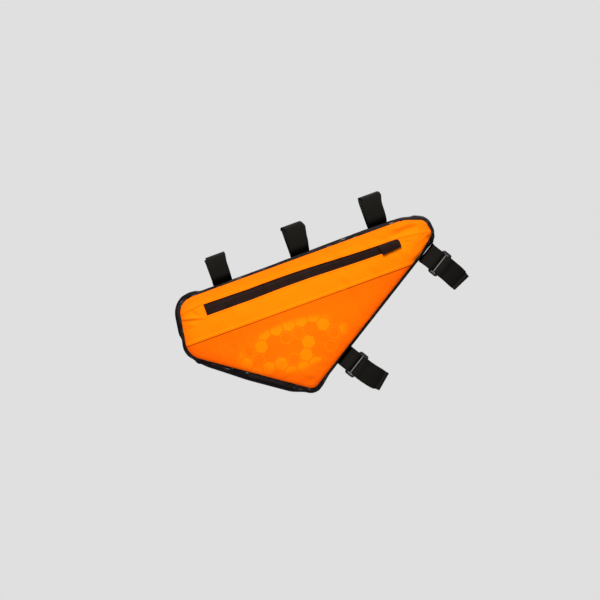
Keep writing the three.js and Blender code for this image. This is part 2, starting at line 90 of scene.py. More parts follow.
# The garage over the zip's front end, and the slider and pull inside, as heights off the panel and distances
# from the garage's middle
GARAGE_LENGTH = 27.6
GARAGE_WIDTH = 11.8
GARAGE_LIP = 2.2
GARAGE_SLANT = 0.25
GARAGE_ROUND = 5.0
GARAGE_LOW_ROUND = 1.2
GARAGE_HEIGHT = 2.6
GARAGE_WALL = 1.0
GARAGE_FRONT_WALL = 4.0
STAND_OFF = 0.2
SLIDER_FRONT = ZIP_FRONT - 3.5
SLIDER_LENGTH = 11.0
SLIDER_HALF = 3.6
SLIDER_HEIGHT = 1.5
PULL_REAR = SLIDER_FRONT - 22.0
PULL_LENGTH = 13.0
PULL_BELOW = (4.9, 1.0)
PULL_OUT = (1.7, 0.7)

# The power that rounds the gusset off, and how far its cloth may move from the drawn shape
GUSSET_POWER = 2.8
GUSSET_MOVE = 0.9
SEATED_MOVE = 0.2
RIDGE_HEIGHT = 3.2
LAP_HEIGHT = 2.2

# Straps, with places round a loop in degrees from the side away from the bag
STRAP_WIDTH = 26.0
STRAP_THICKNESS = 2.2
WEBBING_THICKNESS = 0.93 * STRAP_THICKNESS
LAYER = STRAP_THICKNESS + CLEARANCE
STRAP_PITCH = 107.0
SEWN = 0.4
LOOP_STEP = 4
TOP_STRAP_START = 95
TOP_STRAP_END = -392
TOP_STRAP_LIFT = (222, 262)
DOWN_STRAP_WIDTH = 28.4
DOWN_STRAP_TURN_WIDTH = 25.4
DOWN_STRAP_SLACK = 7.0
DOWN_STRAP_START = -184
DOWN_STRAP_END = 44
DOWN_LOOP = 50.0
TAB_START = 174
TAB_END = 142
# How far in from the loop's far side the painted highlight of the bend lies
BEND_HIGHLIGHT_PLACE = 4.2
RING_BAR = 2.6
RING_END_BAR = 3.1
RING_WIDTH = 14.6
RING_MIDDLE_BAR = 1.8
RING_SIDE_ROOM = 0.12
RING_ROUND = 1.8
# Length at each end of the ring's middle bar over which its painted highlight fades out
HIGHLIGHT_END_MARGIN = 4.5
HAIRPIN_RADIUS = RING_BAR / 2 + CLEARANCE + STRAP_THICKNESS / 2
HAIRPIN_RUN = 2 * RING_BAR

# Threads, half sunk into the fabric, and how far their rows lie from the zip and its seam
STITCH_PITCH = 3.2
STITCH_LENGTH = 2.1
STITCH_RADIUS = 0.24
STITCH_RISE = 0.1
ZIP_STITCH_GAP = 1.9
SEAM_STITCH_GAP = 1.4


def clamp(x, low=0.0, high=1.0):
    return max(low, min(high, x))


def smooth(x, low, high):
    t = clamp((x - low) / (high - low))
    return t * t * (3 - 2 * t)


def mix(a, b, t):
    return a + (b - a) * t


def along_table(table, x):
    for (x0, y0), (x1, y1) in zip(table, table[1:]):
        if x <= x1:
            return mix(y0, y1, clamp((x - x0) / (x1 - x0)))
    return table[-1][1]


def cos_sin(degrees):
    angle = math.radians(degrees)
    return math.cos(angle), math.sin(angle)


# Small helpers round Blender's operators


def activate(piece):
    bpy.ops.object.select_all(action="DESELECT")
    piece.select_set(True)
    bpy.context.view_layer.objects.active = piece


def edit_all(piece):
    activate(piece)
    bpy.ops.object.mode_set(mode="EDIT")
    bpy.ops.mesh.select_all(action="SELECT")


def object_mode():
    bpy.ops.object.mode_set(mode="OBJECT")


def add_modifier(piece, kind, **settings):
    modifier = piece.modifiers.new(kind.lower(), kind)
    for key, value in settings.items():
        setattr(modifier, key, value)
    activate(piece)
    bpy.ops.object.modifier_apply(modifier=modifier.name)


def named(piece, name):
    piece.name = name
    piece.data.name = name
    return piece


def added(name, kind, **settings):
    """A new piece, made by one of Blender's operators for simple shapes."""
    bpy.ops.object.select_all(action="DESELECT")
    getattr(bpy.ops.mesh, f"primitive_{kind}_add")(**settings)
    return named(bpy.context.object, name)


def copy_of(piece, name):
    other = piece.copy()
    other.data = piece.data.copy()
    bpy.context.collection.objects.link(other)
    return named(other, name)


def join(pieces, name):
    bpy.ops.object.select_all(action="DESELECT")
    for piece in pieces:
        piece.select_set(True)
    bpy.context.view_layer.objects.active = pieces[0]
    bpy.ops.object.join()
    return named(pieces[0], name)


def face_out(piece):
    edit_all(piece)
    bpy.ops.mesh.normals_make_consistent(inside=False)
    object_mode()


def soften(piece, width, segments, angle):
    """Bevels the edges at which the faces turn by more than an angle."""
    limit = math.radians(angle)
    add_modifier(piece, "BEVEL", width=width * MM, segments=segments, limit_method="ANGLE", angle_limit=limit)


def select_parts(piece, kind, wanted):
    """Leaves a piece in edit mode with its wanted edges or faces selected."""
    edit_all(piece)
    bpy.ops.mesh.select_mode(type=kind)
    bpy.ops.mesh.select_all(action="DESELECT")
    object_mode()
    for part in piece.data.edges if kind == "EDGE" else piece.data.polygons:
        part.select = wanted(part)
    bpy.ops.object.mode_set(mode="EDIT")


def round_edges(piece, wanted, radius, segments):
    """Rounds the edges that are wanted by their two ends, in millimetres."""
    corners = [vertex.co / MM for vertex in piece.data.vertices]
    select_parts(piece, "EDGE", lambda edge: wanted(*(corners[i] for i in edge.vertices)))
    bpy.ops.mesh.bevel(offset=radius * MM, segments=segments, affect="EDGES")
    object_mode()


def drop_faces(piece, unwanted):
    select_parts(piece, "FACE", lambda face: unwanted(face.center / MM))
    bpy.ops.mesh.delete(type="FACE")
    object_mode()


def shade(piece, angle=40):
    activate(piece)
    bpy.ops.object.shade_smooth_by_angle(angle=math.radians(angle))


def finish_piece(piece, material, *nodes, slot):
    """Tips a piece from the bag's plane into the frame and puts it on the model."""
    piece.data.transform(Matrix.Rotation(-SLOPE, 4, "Y"))
    piece.data.materials.clear()
    piece.data.materials.append(material)
    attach(piece, "root")
    if nodes:
        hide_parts(*nodes)


# The bag's outline


def heading(drop):
    cos, sin = cos_sin(drop)
    return Vector((cos, -sin))


def bag_corners():
    points = [Vector((-REAR_REACH, TOP_EDGE_V))]
    for row in OUTLINE_TABLE[:-2]:
        points.append(points[-1] + heading(row[4]) * row[3])
    points.append(points[0] + heading(REAR_EDGE_DROP) * REAR_EDGE)
    return points


CORNERS = bag_corners()


def edge_of(i):
    start, end = CORNERS[i], CORNERS[(i + 1) % len(CORNERS)]
    along = (end - start).normalized()
    return start, along, Vector((-along.y, along.x)), (end - start).length


def bag_outline(spacing, corner_step):
    """Rows of point, outward direction and swell round the seam."""
    tangents, turns = [], []
    for i, row in enumerate(OUTLINE_TABLE):
        before, after = edge_of((i - 1) % len(CORNERS)), edge_of(i)
        turn = math.acos(clamp(before[1].dot(after[1]), -1, 1))
        radius = min(row[1], 0.45 * min(before[3], after[3]) / math.tan(turn / 2))
        turns.append((turn, radius))
        tangents.append(radius * math.tan(turn / 2))
    rows = []
    for i, row in enumerate(OUTLINE_TABLE):
        before, after = edge_of((i - 1) % len(CORNERS)), edge_of(i)
        turn, radius = turns[i]
        centre = CORNERS[i] - before[1] * tangents[i] - before[2] * radius
        count = max(2, math.ceil(turn / math.radians(corner_step)))
        for k in range(count + 1):
            out = before[2].copy()
            out.rotate(Matrix.Rotation(-turn * k / count, 2))
            rows.append((centre + out * radius, out, row[2]))
        following = (i + 1) % len(CORNERS)
        span = after[3] - tangents[i] - tangents[following]
        squeeze = min(1, span / (row[6] + row[7]))
        count = max(2, round(span / spacing))
        for k in range(1, count):
            distance = span * k / count
            early = 1 - smooth(distance, 0, row[6] * squeeze)
            late = 1 - smooth(span - distance, 0, row[7] * squeeze)
            swell = row[5] + (row[2] - row[5]) * early + (OUTLINE_TABLE[following][2] - row[5]) * late
            rows.append((CORNERS[i] + after[1] * (tangents[i] + distance), after[2], swell))
    return rows


OUTLINE = bag_outline(4.0, 6)


def inside_distance(u, v):
    """Distance from a point in the panel to its seam."""
    return min((p.x - u) * out.x + (p.y - v) * out.y for p, out, _ in OUTLINE)


# Soft fabric


def pin(piece, chosen):
    """Holds corners of the fabric where they are sewn, by index and weight."""
    group = piece.vertex_groups.new(name="sewn")
    for index, weight in chosen:
        group.add([index], weight, "REPLACE")


def billow(piece, pins, pressure, spare, frames, stiffness=15.0, bending=0.5):
    """Blows the fabric up between its seams and keeps the result."""
    pin(piece, pins)
    cloth = piece.modifiers.new("billow", "CLOTH")
    settings = cloth.settings
    settings.quality = 6
    settings.mass = 0.3
    settings.air_damping = 3.0
    settings.tension_stiffness = stiffness
    settings.compression_stiffness = stiffness
    settings.shear_stiffness = stiffness / 2
    settings.bending_stiffness = bending
    settings.vertex_group_mass = "sewn"
    settings.pin_stiffness = 1.0
    settings.use_pressure = True
    settings.uniform_pressure_force = pressure
    settings.shrink_min = -spare
    settings.effector_weights.gravity = 0
    cloth.collision_settings.use_collision = False
    cloth.point_cache.frame_start = 1
    cloth.point_cache.frame_end = frames
    for number in range(1, frames + 1):
        bpy.context.scene.frame_set(number)
    activate(piece)
    bpy.ops.object.modifier_apply(modifier=cloth.name)
    bpy.context.scene.frame_set(1)


def panel_skin(name, spare, pressure, fineness):
    """One side panel as a single sheet, on the right-hand side, facing out."""
    low_u, high_u = min(p.x for p in CORNERS) - 6, max(p.x for p in CORNERS) + 10
    low_v, high_v = min(p.y for p in CORNERS) - 6, TOP_EDGE_V + 6
    columns, rows = round((high_u - low_u) / 3.6), round((high_v - low_v) / 3.6)
    skin = added(name, "grid", x_subdivisions=columns, y_subdivisions=rows, size=1)
    for vertex in skin.data.vertices:
        x, y, _ = vertex.co
        vertex.co = (mix(low_u, high_u, x + 0.5) * MM, 0, mix(low_v, high_v, y + 0.5) * MM)
    for i, (point, _, _) in enumerate(OUTLINE):
        other = OUTLINE[(i + 1) % len(OUTLINE)][0]
        if (other - point).length < 0.01:
            continue
        along = (other - point).normalized()
        cut_away(skin, point.x, point.y, -along.y, along.x)
    edit_all(skin)
    bpy.ops.mesh.remove_doubles(threshold=0.9 * MM)
    object_mode()
    pins = []
    for vertex in skin.data.vertices:
        u, v = vertex.co.x / MM, vertex.co.z / MM
        distance = inside_distance(u, v)
        share = clamp(distance / 62)
        rise = 0.6 * CROWN * math.sqrt(1 - (1 - share) ** 2)
        vertex.co.y = -(HALF_DEPTH + CLEARANCE + rise) * MM
        if distance < 0.9:
            pins.append((vertex.index, 1.0))
    billow(skin, pins, pressure, spare, frames=26)
    heights = [-vertex.co.y / MM - HALF_DEPTH - CLEARANCE for vertex in skin.data.vertices]
    fit = CROWN / max(heights)
    # Weight for the painted shade along the seam, where the crowned panel turns away from the light
    near_seam = skin.data.attributes.new("near_seam", "FLOAT", "POINT")
    for vertex, height in zip(skin.data.vertices, heights):
        distance = inside_distance(vertex.co.x / MM, vertex.co.z / MM)
        near_seam.data[vertex.index].value = 1 - smooth(distance, 0, 24)
        roll = 1.3 * (1 - math.exp(-max(distance, 0) / 1.6))
        vertex.co.y = -(HALF_DEPTH + CLEARANCE + roll + height * fit) * MM
    add_modifier(skin, "SUBSURF", levels=fineness, render_levels=fineness)
    return skin


def cut_away(piece, u, v, out_u, out_v, clear=True):
    """Cuts a sheet along a line in the bag's plane and clears what lies beyond it."""
    plane = {"plane_co": (u * MM, 0, v * MM), "plane_no": (out_u, 0, out_v)}
    edit_all(piece)
    bpy.ops.mesh.bisect(**plane, clear_outer=clear, threshold=1e-6)
    object_mode()


def score(piece, u, v, out_u, out_v):
    """Adds edges along a line and clears nothing."""
    cut_away(piece, u, v, out_u, out_v, clear=False)


def fold(skin, folds):
    """Presses grooves, below zero, and ridges, above zero, into a sheet along short lines."""
    for vertex in skin.data.vertices:
        place = Vector((vertex.co.x, vertex.co.z)) / MM
        lift = 0.0
        for start, end, width, height in folds:
            a, b = Vector(start), Vector(end)
            span = (b - a).length
            t = clamp((place - a).dot(b - a) / span**2)
            distance = (place - a.lerp(b, t)).length
            if distance < 3 * width:
                ends = 1 if min(t, 1 - t) * span > 6 else 0.35 + 0.65 * min(t, 1 - t) * span / 6
                lift += height * ends * math.exp(-((distance / width) ** 2))
        vertex.co.y -= lift * MM


def offset(piece, distance):
    """Moves a sheet along its own normals, in millimetres."""
    normals = [vertex.normal.copy() for vertex in piece.data.vertices]
    for vertex, normal in zip(piece.data.vertices, normals):
        vertex.co += normal * distance * MM


def thicken(piece, thickness):
    add_modifier(piece, "SOLIDIFY", thickness=thickness * MM, offset=-1.0)


def zip_top(u):
    drop = (ZIP_FRONT_DROP - ZIP_REAR_DROP) * (u - ZIP_REAR) / (ZIP_FRONT - ZIP_REAR)
    return TOP_EDGE_V - ZIP_REAR_DROP - drop


def zip_width(u):
    return mix(ZIP_REAR_WIDTH, ZIP_FRONT_WIDTH, clamp((u - ZIP_REAR) / (ZIP_FRONT - ZIP_REAR)))


def zip_bottom(u):
    return zip_top(u) - zip_width(u)


def zip_middle(u):
    return zip_top(u) - zip_width(u) / 2


def zip_shift(u):
    """How far the zip lies above its straight line: a slight bow, and a droop of its seam past both ends."""
    bow = ZIP_BOW * math.sin(math.pi * clamp((ZIP_BOW_PLACE - u) / ZIP_BOW_LENGTH, -0.5, 1))
    return bow - ZIP_END_DROOP * max(ZIP_REAR - u, u - ZIP_FRONT, 0)


def straighten(piece, way=1):
    """Shifts a sheet so that the zip is straight on it, for straight cuts, and back again at -1."""
    for vertex in piece.data.vertices:
        vertex.co.z -= way * zip_shift(vertex.co.x / MM) * MM


def cut_below(piece, line, gap=0.0, side=1):
    """Clears a sheet below a line that is given as a function of u, or above it if side is -1."""
    slope = (line(100) - line(-100)) / 200
    length = math.hypot(1, slope)
    cut_away(piece, 0, line(0) + side * gap, side * slope / length, -side / length)


def cut_above(piece, line, gap=0.0):
    cut_below(piece, line, gap, side=-1)


def lift_edge(piece, line, side, amount, reach):
    """Raises the sheet by amount next to a line, on one side of it, fading out over reach."""
    for vertex in piece.data.vertices:
        distance = side * (vertex.co.z / MM - line(vertex.co.x / MM))
        if -0.5 < distance < reach:
            vertex.co.y -= amount * (1 - smooth(distance, reach * 0.4, reach)) * MM


# Shader expressions


def math_node(operation, swapped=False):
    """A method that puts a wire and what it is given through a maths node."""

    def method(wire, *others):
        values = (*others, wire) if swapped else (wire, *others)
        return wire.tree.add("ShaderNodeMath", {"operation": operation}, dict(enumerate(values)))

    return method


class Wire:
    """An output socket that can be used in sums."""

    def __init__(self, tree, socket):
        self.tree = tree
        self.socket = socket

    __add__ = math_node("ADD")
    __radd__ = math_node("ADD", swapped=True)
    __sub__ = math_node("SUBTRACT")
    __rsub__ = math_node("SUBTRACT", swapped=True)
    __mul__ = math_node("MULTIPLY")
    __rmul__ = math_node("MULTIPLY", swapped=True)
    __truediv__ = math_node("DIVIDE")
    __gt__ = math_node("GREATER_THAN")
    __lt__ = math_node("LESS_THAN")
    floor = math_node("FLOOR")
    fraction = math_node("FRACT")
    size = math_node("ABSOLUTE")
    sine = math_node("SINE")
    root = math_node("SQRT")
    least = math_node("MINIMUM")
    most = math_node("MAXIMUM")

    def between(self, low, high):
        """0 up to low and 1 from high on, with a smooth step between them."""
        settings = {"interpolation_type": "SMOOTHSTEP"}
        inputs = {"Value": self, "From Min": low, "From Max": high, "To Min": 0.0, "To Max": 1.0}
        return self.tree.add("ShaderNodeMapRange", settings, inputs)


class Tree:
    """A material and the nodes that are added to it."""

    def __init__(self, name):
        self.material = bpy.data.materials.new(name)
        self.material.use_nodes = True
        self.nodes = self.material.node_tree.nodes
        self.links = self.material.node_tree.links
        self.shader = self.nodes["Principled BSDF"]

    def add(self, kind, settings=None, inputs=None, output=0):
        node = self.nodes.new(kind)
        for key, value in (settings or {}).items():
            if key == "stops":
                ramp = node.color_ramp
                while len(ramp.elements) < len(value):
                    ramp.elements.new(0.5)
                for element, (position, color) in zip(ramp.elements, value):
                    element.position = position
                    element.color = (*color, 1)
            else:
                setattr(node, key, value)
        self.feed(node, inputs or {})
        return Wire(self, node.outputs[output])

    def feed(self, node, inputs):
        for key, value in inputs.items():
            socket = node.inputs[key]
            if isinstance(value, Wire):
                self.links.new(value.socket, socket)
            else:
                is_colour = isinstance(value, tuple) and socket.type == "RGBA"
                socket.default_value = (*value, 1) if is_colour else value

    def surface(self, **inputs):
        self.feed(self.shader, {key.replace("_", " "): value for key, value in inputs.items()})

    def place(self):
        """Object coordinates in millimetres, turned into the bag's plane."""
        coordinates = self.add("ShaderNodeTexCoord", output="Object")
        inputs = {"Vector": coordinates, "Rotation": (0, SLOPE, 0), "Scale": (1 / MM,) * 3}
        return self.add("ShaderNodeMapping", {}, inputs)

    def split(self, vector):
        node = self.nodes.new("ShaderNodeSeparateXYZ")
        self.feed(node, {0: vector})
        return [Wire(self, socket) for socket in node.outputs]

    def vector(self, *parts):
        return self.add("ShaderNodeCombineXYZ", {}, dict(enumerate(parts)))

    def attribute(self, name):
        return self.add("ShaderNodeAttribute", {"attribute_name": name}, output="Fac")

    def noise(self, vector, scale, detail=2.0, roughness=0.5):
        inputs = {"Vector": vector, "Scale": scale, "Detail": detail, "Roughness": roughness}
        return self.add("ShaderNodeTexNoise", {}, inputs)

    def blend(self, share, first, second):
        """Mixes two colours, by the node's inputs and output for colours."""
        return self.add("ShaderNodeMix", {"data_type": "RGBA"}, {0: share, 6: first, 7: second}, 2)

    def bump(self, height, strength, distance):
        inputs = {"Height": height, "Strength": strength, "Distance": distance * MM}
        return self.add("ShaderNodeBump", {}, inputs, "Normal")


def weave_height(x, y, pitch):
    """Height of a plain weave, 0 to 1, on two coordinates in millimetres."""
    across = (x * (math.pi / pitch)).sine().size()
    along = (y * (math.pi / pitch)).sine().size()
    turn = ((x / pitch).floor() + (y / pitch).floor()) / 2
    over = turn.fraction() > 0.25
    return over * across + (1 - over) * along


def hexagons(tree, u, v, size):
    """Shares of a honeycomb: distance to the nearest cell wall, and a random number for each cell."""
    tall = size * math.sqrt(3)

    def grid(du, dv):
        a = (u + du) / size
        b = (v + dv) / tall
        return (a - a.floor() - 0.5) * size, (b - b.floor() - 0.5) * tall, a.floor(), b.floor()

    x1, y1, i1, j1 = grid(0, 0)
    x2, y2, i2, j2 = grid(size / 2, tall / 2)
    nearer = (x1 * x1 + y1 * y1) < (x2 * x2 + y2 * y2)
    x = (nearer * x1 + (1 - nearer) * x2).size()
    y = (nearer * y1 + (1 - nearer) * y2).size()
    reach = x.most(x * 0.5 + y * (math.sqrt(3) / 2))
    wall = size / 2 - reach
    first = nearer * (i1 + 0.25) + (1 - nearer) * (i2 + 50.25)
    second = nearer * (j1 + 0.25) + (1 - nearer) * (j2 + 90.25)
    inputs = {"Vector": tree.vector(first, second)}
    chance = tree.add("ShaderNodeTexWhiteNoise", {"noise_dimensions": "3D"}, inputs, "Value")
    return wall, chance


def orange_fabric(name, colour, printed=False, with_seam_shadow=True):
    tree = Tree(name)
    place = tree.place()
    u, _, v = tree.split(place)
    weave = weave_height(u, v, 0.55)
    slubs = tree.noise(place, 0.35, 3.0)
    cloud = tree.noise(place, 0.02, 2.0)
    near_seam = tree.attribute("near_seam")
    shade_share = (cloud - 0.5) * 0.35 + (weave - 0.6) * 0.10 + (slubs - 0.5) * 0.12 + 0.5
    darker = (colour[0] * 0.95, colour[1] * 0.80, 0)
    lighter = (min(colour[0] * 1.03, 1), colour[1] * 1.14, 0)
    base = tree.blend(shade_share, darker, lighter)
    if printed:
        wall, chance = hexagons(tree, u + 3.0, v - 4.0, 17.0)
        reach = ((u + 50.0) * (u + 50.0) / 6600.0 + (v + 127.0) * (v + 127.0) / 1250.0).root()
        near = 1 - reach.between(0.8, 1.0)
        inner = wall.between(0.5, 0.9)
        filled = (chance > 0.5) * inner * near
        line = wall.between(1.0, 1.4) * (1 - wall.between(1.9, 2.3))
        lined = line * (chance < 0.44) * (chance > 0.12) * near
        printed_share = (filled * 0.9 + lined * 0.7).least(1.0)
        base = tree.blend(printed_share, base, (1.0, colour[1] * 1.5, 0))
        # Painted shade: darker and redder just under the lower seam's lap and towards the bottom of the lower
        # panel
        painted_shade_under_lap = 1 - (LOWER_SEAM_V - v).between(0, 26)
        low = (-150.0 - v).between(0, 45)
        base = tree.blend((painted_shade_under_lap * 0.3 + low * 0.45).least(1.0), base, (1.0, colour[1] * 0.62, 0))
    # Painted shade: darker and redder near the seam, where the panel rounds away from the light
    base = tree.blend(near_seam * near_seam * 0.6, base, (0.95, colour[1] * 0.62, 0))
    # Painted shadow: a thin dark line just under the lower seam, where its lap shades the panel below
    if with_seam_shadow:
        painted_seam_shadow = 1 - (v - LOWER_SEAM_V + 0.3).size().between(0.3, 1.3)
        base = tree.blend(painted_seam_shadow * 0.45, base, (0.42, colour[1] * 0.22, 0))
    tree.surface(Base_Color=base, Roughness=0.75, Specular_IOR_Level=0.03)
    relief = weave * 0.5 + slubs * 0.25
    tree.surface(Normal=tree.bump(relief, 0.35, 0.12))
    return tree.material


def black_fabric():
    tree = Tree("black coated fabric")
    place = tree.place()
    grain = tree.noise(place, 1.4, 4.0, 0.6)
    cloud = tree.noise(place, 0.05, 3.0)
    s, t, _ = tree.split(tree.add("ShaderNodeTexCoord", output="UV"))
    along_band = tree.vector(s * 42.0, t * 16.0)
    crinkle = tree.noise(along_band, 1.0, 3.0, 0.6)
    # Painted highlight: a brownish-grey band along the gusset's visible rim, where its bulge catches the
    # light, with thin light streaks on it for glints on the coated fabric
    thin = tree.vector(s * 64.0, t * 46.0, 3.0)
    painted_glints = tree.noise(thin, 1.0, 2.0, 0.5).between(0.63, 0.70)
    across = (t - 0.5).size() * 2
    painted_rim_highlight = across.between(0.84, 0.89) * (1 - across.between(0.985, 0.995))
    base = tree.blend(cloud, (0.0030, 0.0022, 0.0022), (0.0085, 0.0064, 0.0062))
    base = tree.blend(painted_rim_highlight * crinkle.between(0.35, 0.6) * 0.7, base, (0.026, 0.020, 0.019))
    base = tree.blend(painted_glints * painted_rim_highlight * 0.8, base, (0.26, 0.24, 0.23))
    rough = 0.78 + (cloud - 0.5) * 0.2
    tree.surface(Base_Color=base, Roughness=rough, Specular_IOR_Level=0.03)
    tree.surface(Normal=tree.bump(grain * 0.15 + crinkle, 0.3, 0.35))
    return tree.material


def zip_film():
    tree = Tree("zip film")
    place = tree.place()
    u, _, v = tree.split(place)
    grain = tree.noise(place, 0.9, 3.0)
    base = tree.blend(grain, (0.0105, 0.0032, 0.0016), (0.0150, 0.0052, 0.0030))
    tree.surface(Base_Color=base, Roughness=0.6, Specular_IOR_Level=0.07)
    teeth = (u * (math.pi / 1.25)).sine().size()
    middle = TOP_EDGE_V - (ZIP_REAR_DROP + ZIP_FRONT_DROP) / 2 - (ZIP_REAR_WIDTH + ZIP_FRONT_WIDTH) / 4
    tilt = (zip_middle(ZIP_FRONT) - zip_middle(ZIP_REAR)) / (ZIP_FRONT - ZIP_REAR)
    bow = (((ZIP_BOW_PLACE - u) / ZIP_BOW_LENGTH).most(-0.5).least(1.0) * math.pi).sine() * ZIP_BOW
    away = (v - (u - (ZIP_FRONT + ZIP_REAR) / 2) * tilt - middle - bow).size()
    over_coil = 1 - away.between(2.2, 3.6)
    tree.surface(Normal=tree.bump(over_coil * (0.7 + 0.3 * teeth) + grain * 0.1, 0.35, 0.4))
    return tree.material


def webbing():
    tree = Tree("hook and loop tape")
    place = tree.place()
    s, t, _ = tree.split(tree.add("ShaderNodeTexCoord", output="UV"))
    fuzz = tree.noise(place, 1.6, 5.0, 0.7)
    pile = tree.noise(place, 0.3, 3.0)
    ribs = weave_height(s * 190.0, t * STRAP_WIDTH, 0.9)
    edge = 1 - (t - 0.5).size().between(0.43, 0.455)
    height = edge * (fuzz * 0.8 + pile * 0.4) + (1 - edge) * (0.35 + ribs * 0.4)
    # Painted highlight: a lighter line across the strap where it bends round the far side of its loop
    crease = tree.attribute("crease")
    base = tree.blend(fuzz * 0.6 + pile * 0.4, (0.0035, 0.0030, 0.0025), (0.0115, 0.0100, 0.0080))
    base = tree.blend(crease * (0.4 + pile * 0.4), base, (0.045, 0.040, 0.036))
    tree.surface(Base_Color=base, Roughness=0.92, Specular_IOR_Level=0.06)
    tree.surface(Normal=tree.bump(height, 0.8, 0.35))
    return tree.material


def moulded_plastic():
    tree = Tree("moulded plastic")
    place = tree.place()
    grain = tree.noise(place, 2.2, 3.0)
    wear = tree.noise(place, 0.12, 2.0)
    # Painted highlight: the ring's middle bar is drawn lighter, for the light line that runs along it
    bare = tree.attribute("bare")
    base = tree.blend(wear, (0.008, 0.009, 0.008), (0.018, 0.019, 0.017))
    tree.surface(
        Base_Color=tree.blend(bare, base, (0.13, 0.128, 0.118)),
        Roughness=0.40 + wear * 0.14,
        Specular_IOR_Level=0.22,
        Normal=tree.bump(grain, 0.35, 0.06),
    )
    return tree.material


def thread(name, colour):
    tree = Tree(name)
    place = tree.place()
    twist = tree.noise(place, 3.0, 2.0)
    darker, lighter = tuple(c * 0.8 for c in colour), tuple(min(c * 1.15, 1) for c in colour)
    tree.surface(
        Base_Color=tree.blend(twist, darker, lighter),
        Roughness=0.8,
        Specular_IOR_Level=0.04,
        Normal=tree.bump(twist, 0.5, 0.1),
    )
    return tree.material


def pale_floor():
    tree = Tree("pale floor")
    place = tree.place()
    cloud = tree.noise(place, 0.01, 2.0)
    tree.surface(Base_Color=tree.blend(cloud, (0.44, 0.44, 0.44), (0.47, 0.47, 0.47)), Roughness=0.9)
    return tree.material


ORANGE = (1.0, 0.205, 0.0)
ORANGE_LOWER = (1.0, 0.152, 0.0)
upper_cloth = orange_fabric("orange fabric", ORANGE)
# The left panel is drawn without the painted seam shadow
plain_cloth = orange_fabric("plain orange fabric", ORANGE, with_seam_shadow=False)
lower_cloth = orange_fabric("orange fabric with honeycomb print", ORANGE_LOWER, printed=True)
gusset_cloth = black_fabric()
film = zip_film()
tape_cloth = webbing()
plastic = moulded_plastic()
orange_thread = thread("orange thread", (0.93, 0.155, 0.0))

# Side panels

# Start, end, width and height of each crease in the fabric
FOLDS = [
    ((-158, -39), (-151, -50), 2.0, -1.3),
    ((-174, -45), (-144, -53), 1.9, 1.1),
    ((-174, -49), (-150, -55), 2.2, -0.8),
    ((-172, -60), (-158, -62), 2.4, -0.5),
    ((116, -37), (158, -36), 4.2, -1.5),
    ((122, -29), (148, -31), 2.4, 0.7),
    ((131, -50), (141, -53), 1.8, -0.8),
    ((150, -49), (166, -47), 1.8, 0.7),
    ((170, -53), (156, -58), 2.4, -1.2),
    ((172, -48), (158, -52), 1.8, 1.1),
    ((147, -72), (132, -79), 2.2, -1.1),
    ((150, -66), (138, -71), 2.4, 0.6),
    ((60, -125), (48, -118), 3.0, -0.5),
    ((-30, -180), (-52, -160), 4.0, 0.7),
    ((-150, -118), (-140, -106), 3.0, -0.6),
]

right_skin = panel_skin("right skin", spare=0.012, pressure=2.2, fineness=2)
fold(right_skin, FOLDS)
left_skin = panel_skin("left skin", spare=0.016, pressure=2.0, fineness=1)
surface = BVHTree.FromPolygons(
    [vertex.co.copy() for vertex in right_skin.data.vertices],
    [tuple(face.vertices) for face in right_skin.data.polygons],
)


def depth_at(tree, u, v):
    """How far out a surface lies on the right-hand side, in millimetres, as a negative y."""
    hit = tree.ray_cast(Vector((u * MM, -0.3, v * MM)), Vector((0, 1, 0)))[0]
    return hit.y / MM if hit else -(HALF_DEPTH + CLEARANCE)


def lower_seam(u):
    """The seam between the middle and lower panels, the same height at every u."""
    return LOWER_SEAM_V


seen_corners, seen_faces = [], []


def remember(piece):
    """Keeps a finished panel's surface, which small pieces are later laid on."""
    first = len(seen_corners)
    seen_corners.extend(vertex.co.copy() for vertex in piece.data.vertices)
    seen_faces.extend(tuple(first + i for i in face.vertices) for face in piece.data.polygons)


def finish_panel(piece, cloth, node):
    thicken(piece, WALL)
    shade(piece)
    remember(piece)
    finish_piece(piece, cloth, node, slot="orange_fabric")


upper = copy_of(right_skin, "panel_upper")
straighten(upper)
cut_below(upper, zip_top, SEAM_GAP)
lift_edge(upper, zip_top, 1, 0.35, 4)
straighten(upper, -1)
finish_panel(upper, upper_cloth, "right_panel_upper")

middle = copy_of(right_skin, "panel_middle")
straighten(middle)
cut_above(middle, zip_top, SEAM_GAP)
slope = (zip_bottom(ZIP_FRONT) - zip_bottom(ZIP_REAR)) / (ZIP_FRONT - ZIP_REAR)
score(middle, ZIP_REAR, zip_bottom(ZIP_REAR), -slope, 1)
score(middle, ZIP_REAR, 0, 1, 0)
score(middle, ZIP_FRONT, 0, 1, 0)
round_u = ZIP_FRONT - GARAGE_ROUND
round_v = zip_top(ZIP_FRONT) - GARAGE_ROUND
for step in range(6):
    cos, sin = cos_sin(7.5 + 15 * step)
    score(middle, round_u + GARAGE_ROUND * cos, round_v + GARAGE_ROUND * sin, cos, sin)


def in_window(c):
    """True inside the opening for the zip, which is rounded at its upper front corner."""
    if c.x > round_u and c.z > round_v and math.hypot(c.x - round_u, c.z - round_v) > GARAGE_ROUND:
        return False
    return ZIP_REAR < c.x < ZIP_FRONT and c.z > zip_bottom(c.x)


drop_faces(middle, in_window)
straighten(middle, -1)
cut_below(middle, lower_seam, SEAM_GAP)
lift_edge(middle, lower_seam, 1, 0.7, 5)
finish_panel(middle, upper_cloth, "right_panel_middle")

lower = copy_of(right_skin, "panel_lower")
cut_above(lower, lower_seam, SEAM_GAP)
finish_panel(lower, lower_cloth, "right_panel_lower")

left = named(left_skin, "panel_left")
thicken(left, WALL)
left.data.transform(Matrix.Scale(-1, 4, Vector((0, 1, 0))))
face_out(left)
shade(left)
finish_piece(left, plain_cloth, "left_panel", slot="orange_fabric")

# Zip


